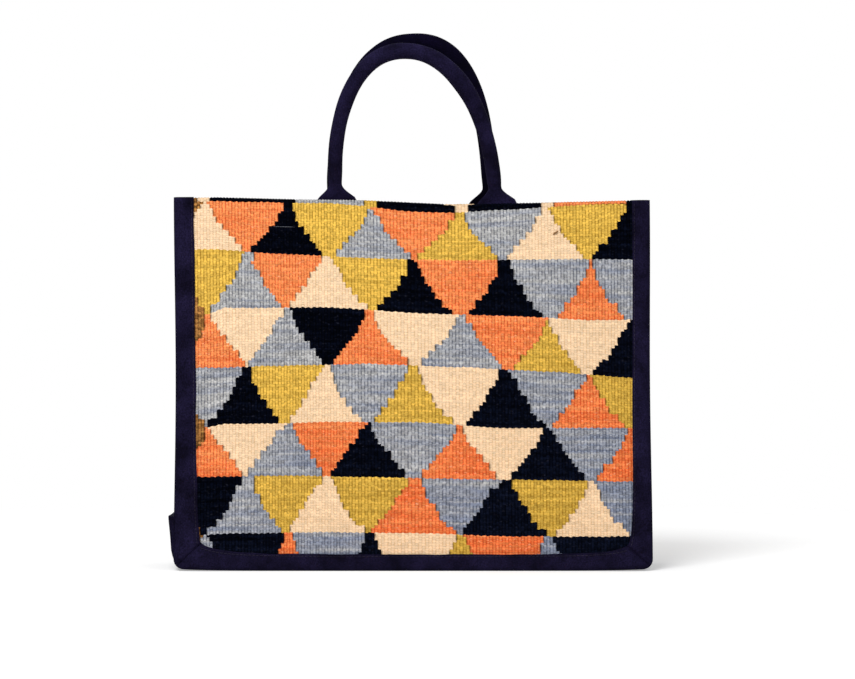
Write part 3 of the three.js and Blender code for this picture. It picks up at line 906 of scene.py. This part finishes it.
def border(face, carry, outward, seed):
    """The three mitred strips of one face and the stitches along them."""
    side_length = RIM - CORNER_RADIUS
    base_length = 2 * (HALF_WIDTH - CORNER_RADIUS)
    left, right = ("left", "right") if face == "front" else ("right", "left")
    plans = (
        (left, side_path, SIDE_BORDER, side_length, 1),
        (right, mirrored_path, SIDE_BORDER, side_length, 1),
        ("base", base_path, BASE_BORDER, base_length, 2),
    )
    stitches = []
    for number, (part, *plan) in enumerate(plans):
        node = f"{face}_{part}_border"
        stitches.append(border_strip(f"sewn_{node}", node, carry, *plan, seed + SEEDS_PER_STRIP * number))
    starts, ends = (np.concatenate([stitch[i] for stitch in stitches]) for i in (0, 1))
    threads(f"{face}_border_stitches", starts, ends, outward, THREAD_RADIUS, NAVY_THREAD)


FRONT_OUTWARD = np.array([0, -1, FACE_SLOPE]) / math.hypot(1, FACE_SLOPE)
border("front", as_laid, FRONT_OUTWARD, seed=100)
border("back", turned_round, turned_round(FRONT_OUTWARD), seed=200)


# Loose ends on the front panel: a pale pick across an ink triangle, and a brown slub in a natural one.
# Each has a name, its ends in millimetres across and up, its radius and its material.
LOOSE_ENDS = (
    ("pale_pick", (-116.5, 288.0), (-98.3, 288.0), 0.24 * MM, PALE_THREAD),
    ("brown_slub", (118.0, 284.3), (122.9, 287.3), 0.75 * MM, BROWN_THREAD),
)
for name, start, end, radius, material in LOOSE_ENDS:
    x, z = np.array([start, end]).T * MM
    lying = settle(on_front(x, z, PANEL_FACE - radius / 2))
    threads(name, lying[:1], lying[1:], FRONT_OUTWARD, radius, material)


# Gusset

BEND_POINTS = 7
GUSSET_POINTS = 41
PLEAT_SHOULDER = 3 * MM
PLEAT_SOFTNESS = 0.14
PANEL_GAP = 0.3 * MM
NARROWING = 12 * MM
CREASE_DEPTH = 0.7 * MM
CREASE_WAVE = 60 * MM
CREASE_START = 40 * MM
CREASE_FOLD = 8 * MM


def half_pleat(z):
    return half_depth(z) - LINING_BACK - PLEAT_SHOULDER


def pleat(y, z):
    """How far the pleated side is folded in, with a soft crease."""
    depth = np.sqrt(np.maximum(half_pleat(STRIP_TOP) ** 2 - half_pleat(z) ** 2, 0))
    away = np.minimum(np.abs(y) / half_pleat(z), 1)
    edge = math.hypot(1, PLEAT_SOFTNESS)
    return depth * ((edge - np.hypot(away, PLEAT_SOFTNESS)) / (edge - PLEAT_SOFTNESS))


def round_the_base(inset, top, side_steps, base_steps):
    """Places on a layer down the left side, under the base and up the right side, and the way inwards."""
    radius = CORNER_RADIUS - inset
    bend = HALF_WIDTH - CORNER_RADIUS
    turn = np.linspace(0, np.pi / 2, BEND_POINTS)
    down = joined(inset - HALF_WIDTH, np.linspace(top, CORNER_RADIUS, side_steps)[:-1])
    corner = joined(-bend - radius * np.cos(turn), CORNER_RADIUS - radius * np.sin(turn))
    under = joined(np.linspace(-bend, bend, base_steps)[1:-1], inset)
    left = np.concatenate([down, corner])
    from_left = np.concatenate([np.tile([1, 0], (len(down), 1)), joined(np.cos(turn), np.sin(turn))])
    from_under = np.tile([0, 1], (len(under), 1))
    places = np.concatenate([left, under, (left * (-1, 1))[::-1]])
    inwards = np.concatenate([from_left, from_under, (from_left * (-1, 1))[::-1]])
    return places, inwards


def cloth_rings(places, inwards, y, depth, thickness):
    """Closed sections of a band of cloth at each place: its outer face at a depth, then its inner face."""
    outside = places[:, None, :] + inwards[:, None, :] * depth[..., None]
    inside = places[:, None, :] + inwards[:, None, :] * (depth + thickness)[..., None]
    flat = np.concatenate([outside, inside[:, ::-1]], axis=1)
    across = np.concatenate([y, y[:, ::-1]], axis=1)
    return joined(flat[..., 0], across, flat[..., 1])


def gusset():
    """The strip round the sides and the base, pleated at the sides and narrower between the hems."""
    places, inwards = round_the_base(GUSSET_UNDERSIDE, GUSSET_TOP, side_steps=60, base_steps=12)
    z = places[:, 1]
    hem = smoothstep(RIM - HEM_DEPTH - NARROWING, RIM - HEM_DEPTH, z)
    panel_back = PANEL_FACE + KILIM_CLOTH
    edge = half_depth(z) - (panel_back + PANEL_GAP) - hem * (HEM_BACK - panel_back)
    y = edge[:, None] * np.linspace(-1, 1, GUSSET_POINTS)
    folded = pleat(y, z[:, None])
    above_strip = smoothstep(STRIP_TOP, STRIP_TOP + CREASE_START, z)[:, None]
    creases = CREASE_DEPTH * ripple(GUSSET_SEED, CREASE_WAVE, y, z[:, None]) * above_strip
    depth = folded + creases * np.clip(folded / CREASE_FOLD, 0, 1)
    rings = cloth_rings(places, inwards, y, depth, GUSSET_CLOTH)
    piece = add_cloth("pleated_gusset", "gusset", rings, NAVY_BORDER)


gusset()


# Wear strip. Its left end has sprung away from the side as an ear. Starts and ends are shares of its height.

STRIP_POINTS = 25
STRIP_RIPPLE = 0.3 * MM
STRIP_WAVE = 50 * MM
EDGE_THINNING = 0.3
EAR_SETBACK = 0.9 * MM
EAR_WIDENS = (0.15, 0.4)
EAR_LIFT = 2.1 * MM
EAR_LIFTS = (0.02, 0.25)
EAR_SPRING = 2.9 * MM
EAR_SPRING_START = 0.3
EAR_SPRING_RUN = 0.65
EAR_SPRING_POWER = 1.3


def base_strip():
    """The wear strip. Its left end is doubled, and stands out as an ear as wide as the bag is deep."""
    places, inwards = round_the_base(0, STRIP_TOP, side_steps=24, base_steps=40)
    x, z = places.T
    up = np.clip(z / STRIP_TOP, 0, 1)
    on_left = x < 0
    half = half_depth(z) - half_depth(0) + STRIP_HALF_DEPTH
    half = half + on_left * smoothstep(*EAR_WIDENS, up) * (half_depth(z) - EAR_SETBACK - half)
    share = np.sin(np.linspace(-np.pi / 2, np.pi / 2, STRIP_POINTS))
    y = half[:, None] * share
    spring = EAR_SPRING * np.clip((up - EAR_SPRING_START) / EAR_SPRING_RUN, 0, 1) ** EAR_SPRING_POWER
    sprung = on_left * (EAR_LIFT * smoothstep(*EAR_LIFTS, up) + spring)
    doubled = STRIP_CLOTH + sprung
    thickness = doubled[:, None] * (1 - EDGE_THINNING * np.abs(share) ** 12)
    waves = STRIP_RIPPLE * ripple(STRIP_SEED, STRIP_WAVE, x[:, None], y) * (z > CORNER_RADIUS)[:, None]
    depth = waves - sprung[:, None] + (doubled[:, None] - thickness) / 2
    rings = cloth_rings(places, inwards, y, depth, thickness)
    piece = add_cloth("turned_up_base_strip", "base_strip", rings, NAVY_BORDER)


base_strip()


# Lining

LINING_LEVELS = 46
END_STEPS = 25
WALL_STEPS = 61
LINING_GAP = 1 * MM
LINING_PLEAT = 1.04
LINING_CREASE = 1.3 * MM
LINING_WAVE = 85 * MM
CREASE_STRETCH = 0.4
WALLS_APART = 3
SLACK_FOOT = 60 * MM
TAUT_TOP = 25 * MM


def lining_ring(z, wall, beside):
    """One level of the lining: straight walls at a depth behind the borders, ends that follow the pleats."""
    back = half_depth(z) - wall
    end_y = np.linspace(-back, back, END_STEPS)
    end_x = GUSSET_SIDE - GUSSET_CLOTH - beside - pleat(end_y, z) * LINING_PLEAT
    wall_x = np.linspace(end_x[-1], -end_x[-1], WALL_STEPS)[1:-1]
    ring = np.concatenate([joined(end_x, end_y), joined(wall_x, back)])
    ring = np.concatenate([ring, -ring])
    return np.column_stack([ring, np.full(len(ring), z)])


def lining():
    """A plain cotton inner bag that hangs inside the hems, with soft creases in its walls."""
    heights = np.linspace(LINING_FLOOR, LINING_TOP, LINING_LEVELS)
    outside = np.array([lining_ring(z, LINING_FACE, LINING_GAP) for z in heights])
    inner_gap = LINING_GAP + LINING_CLOTH
    inside = np.array([lining_ring(z, LINING_BACK, inner_gap) for z in heights + LINING_CLOTH])
    inside[-1, :, 2] = LINING_TOP
    loose = np.sin(np.linspace(0, np.pi, WALL_STEPS))[1:-1]
    loose = np.tile(np.concatenate([np.zeros(END_STEPS), loose]), 2)
    creased = []
    for ring in (outside, inside):
        x, y, z = np.moveaxis(ring, -1, 0)
        taut = smoothstep(LINING_TOP - TAUT_TOP, LINING_TOP, z)
        slack = smoothstep(LINING_FLOOR, SLACK_FOOT, z) * (1 - taut)
        creases = 1 + ripple(LINING_SEED, LINING_WAVE, x, CREASE_STRETCH * z, WALLS_APART * y)
        creased.append(joined(x, y - np.sign(y) * creases * LINING_CREASE * slack * loose, z))
    rings = np.concatenate([creased[0], creased[1][::-1]])
    piece = add_cloth("hung_lining", "lining", rings, LINING_COTTON)


lining()


# Handles

TAB_HALF_WIDTH = 18 * MM
TAB_HALF_THICKNESS = 1.2 * MM
TAB_POINTS = 7
FLARE_HEIGHT = 13 * MM
FLARE_RUN = 1.6 * FLARE_HEIGHT
FLARE_POINTS = 13
ARCH_POINTS = 110
LEAN_BEND = 20 * MM
NECK_PINCH = 0.12
NECK_REACH = 8 * MM
SWELL_REACH = 0.13
ROLL_SIDES = 36
ROLL_START = -0.15
ROLL_END = 1.05
ROLL_VARY = 0.025
ROLL_WAVE = 60 * MM
ROLL_SEAM = 0.09
ROLL_SEAM_REACH = 0.16
GATHER_DEPTH = 0.5 * MM
GATHERS = 5


def handle_line(legs_apart, middle, rise, squareness, crown_shift, shift_power):
    """The middle of a handle in its own plane, across and up from the rim: a tab, the arch and a tab."""
    power = 2 / squareness
    half = legs_apart / 2
    flare_turn = np.arcsin((np.linspace(0, FLARE_RUN, FLARE_POINTS) / rise) ** (1 / power))
    arch_turn = np.linspace(flare_turn[-1], np.pi - flare_turn[-1], ARCH_POINTS)[1:-1]
    turn = np.concatenate([flare_turn, arch_turn, np.pi - flare_turn[::-1]])
    height = np.maximum(np.sin(turn), 0) ** power
    across = np.sign(np.cos(turn)) * np.abs(np.cos(turn)) ** power
    arch = joined(-half * across + crown_shift * height**shift_power, rise * height)
    tab = joined(-half, np.linspace(HANDLE_FOOT - RIM, 0, TAB_POINTS)[:-1])
    return np.concatenate([tab, arch, (tab * (-1, 1))[::-1]]) + (middle, 0)


def handle_frame(line, lean):
    """Points along a handle's middle, which leans out above the rim, and the ways into its loop and out."""
    along = np.gradient(line, axis=0)
    along = along / np.linalg.norm(along, axis=1, keepdims=True)
    height = line[:, 1]
    tilt = lean * np.clip(height, 0, LEAN_BEND) / LEAN_BEND
    below = np.minimum(height, 0)
    beyond = np.maximum(height - LEAN_BEND, 0)
    bend = LEAN_BEND / lean
    out = bend * (1 - np.cos(tilt)) + beyond * np.sin(tilt) - below * FACE_SLOPE
    up = bend * np.sin(tilt) + beyond * np.cos(tilt) + below
    upwards = joined(0, -np.sin(tilt), np.cos(tilt))
    outwards = joined(0, -np.cos(tilt), -np.sin(tilt))
    inside_loop = joined(along[:, 1], 0, 0) - along[:, :1] * upwards
    return joined(line[:, 0], TAB_MIDDLE - half_depth(RIM) - out, RIM + up), inside_loop, outwards


def handle(name, node, material, carry, seed, line, lean, radius, swell, swell_at):
    """Rolled cloth, sewn along the inside of the loop, gathered at its necks and flat inside the mouth."""
    middle, inside_loop, outwards = handle_frame(line, lean)
    height = line[:, 1]
    way = np.cumsum(np.linalg.norm(np.diff(line, axis=0, prepend=line[:1]), axis=1))
    rolled = smoothstep(ROLL_START, ROLL_END, np.clip(height / FLARE_HEIGHT, -1, 1))
    pinch = 1 - NECK_PINCH * bell((height - FLARE_HEIGHT) / NECK_REACH)
    fuller = 1 + swell * bell((way / way[-1] - swell_at) / SWELL_REACH)
    fullness = pinch * fuller * (1 + ROLL_VARY * ripple(seed, ROLL_WAVE, way))
    half_width = (TAB_HALF_WIDTH + (radius - TAB_HALF_WIDTH) * rolled) * fullness
    half_thick = (TAB_HALF_THICKNESS + (radius - TAB_HALF_THICKNESS) * rolled) * fullness
    angle = np.linspace(0, 2 * np.pi, ROLL_SIDES, endpoint=False)
    seam = 1 - ROLL_SEAM * bell(np.minimum(angle, 2 * np.pi - angle) / ROLL_SEAM_REACH)
    gathers = GATHER_DEPTH * np.cos(GATHERS * np.pi * np.cos(angle)) * (np.sin(np.pi * rolled) ** 2)[:, None]
    wide = half_width[:, None] * (np.cos(angle) * seam)
    thick = half_thick[:, None] * np.sin(angle) + gathers * np.sign(np.sin(angle))
    widened = middle[:, None, :] + wide[..., None] * inside_loop[:, None, :]
    rings = carry(widened - thick[..., None] * outwards[:, None, :])
    piece = add_cloth(name, node, rings, material)


handle(
    "rolled_front_handle", "front_handle", NAVY_HANDLE, as_laid, seed=61,
    line=handle_line(legs_apart=134.4 * MM, middle=3.8 * MM, rise=141 * MM, squareness=2.17,
                     crown_shift=-6.6 * MM, shift_power=0.8),
    lean=math.radians(33), radius=6.25 * MM, swell=0.12, swell_at=0.59,
)
# The back handle wears the handle navy painted darker, as painted shade
handle(
    "rolled_back_handle", "back_handle", NAVY_HANDLE_PAINTED_SHADE, turned_round, seed=71,
    line=handle_line(legs_apart=133.3 * MM, middle=1.2 * MM, rise=143.1 * MM, squareness=2.38,
                     crown_shift=-0.9 * MM, shift_power=1),
    lean=math.radians(2), radius=5.75 * MM, swell=0.24, swell_at=0.28,
)


# Base board

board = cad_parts["base_board"]
board.data.materials.clear()
board.data.materials.append(GREYBOARD)


# Camera, light and floor

# The camera is level and square to the front, at the place of the photograph's middle
CAMERA_X = 12 * MM
CAMERA_Z = 194 * MM
CAMERA_DISTANCE = 2.2
SENSOR_WIDTH = 36
PHOTO_WIDTH = 855
PIXELS_PER_METRE = 1190
FLOOR_REACH = 3
FLOOR_COLOUR = (0.95, 0.95, 0.95, 1)
WHITE = (1, 1, 1, 1)


def add_lamp(name, location, size, watts):
    data = bpy.data.lights.new(name, "AREA")
    data.shape = "DISK"
    data.size = size
    data.energy = watts
    lamp = add_object(name, data)
    lamp.location = location
    lamp.rotation_mode = "QUATERNION"
    lamp.rotation_quaternion = (Vector((0, 0, RIM / 2)) - Vector(location)).to_track_quat("-Z", "Y")


def add_camera():
    data = bpy.data.cameras.new("photo_camera")
    data.sensor_width = SENSOR_WIDTH
    data.lens = SENSOR_WIDTH * CAMERA_DISTANCE * PIXELS_PER_METRE / PHOTO_WIDTH
    camera = add_object("photo_camera", data)
    camera.location = (CAMERA_X, -half_depth(RIM / 2) - CAMERA_DISTANCE, CAMERA_Z)
    camera.rotation_euler = (math.pi / 2, 0, 0)
    bpy.context.scene.camera = camera


def add_world(strength):
    """White to the camera, and an even soft light for everything else."""
    world = bpy.data.worlds.new("studio")
    bpy.context.scene.world = world
    world.use_nodes = True
    tree = world.node_tree
    ray = add_node(tree, "LightPath", {})
    seen = calc(tree, "MAXIMUM", ray["Is Camera Ray"], ray["Is Glossy Ray"])
    seen = calc(tree, "MAXIMUM", seen, ray["Is Transmission Ray"])
    shining = spread(tree, seen, low=0, high=1, to_low=strength)
    feed(tree, tree.nodes["Background"], {"Color": WHITE, "Strength": shining})


def add_floor():
    """A white floor that takes the bag's shadow and fades into the white background away from the bag."""
    mesh = bpy.data.meshes.new("floor")
    corners = [(x * FLOOR_REACH, y * FLOOR_REACH, 0) for x, y in ((-1, -1), (1, -1), (1, 1), (-1, 1))]
    mesh.from_pydata(corners, [], [(0, 1, 2, 3)])
    floor = add_object("floor", mesh)
    material, tree, shader = new_material("floor_white")
    away = add_node(tree, "VectorMath", {0: object_place(tree)}, operation="LENGTH")["Value"]
    seen = add_node(tree, "LightPath", {})["Is Camera Ray"]
    glow = spread(tree, away, low=0.2, high=0.6, to_low=0.3, to_high=0.5)
    feed(tree, shader, {
        "Base Color": FLOOR_COLOUR,
        "Roughness": 1,
        "Specular IOR Level": 0,
        "Alpha": spread(tree, away, low=0.35, high=0.9, to_low=1, to_high=0),
        "Emission Color": WHITE,
        "Emission Strength": calc(tree, "MULTIPLY", seen, glow),
    })
    mesh.materials.append(material)


add_camera()
add_world(strength=0.4)
add_lamp("key", location=(-0.4, -1.2, 1.3), size=0.8, watts=19)
add_lamp("fill", location=(1.4, -1.6, 0.7), size=1.4, watts=4)
add_floor()
bpy.context.scene.view_settings.view_transform = "Standard"

bpy.context.view_layer.update()
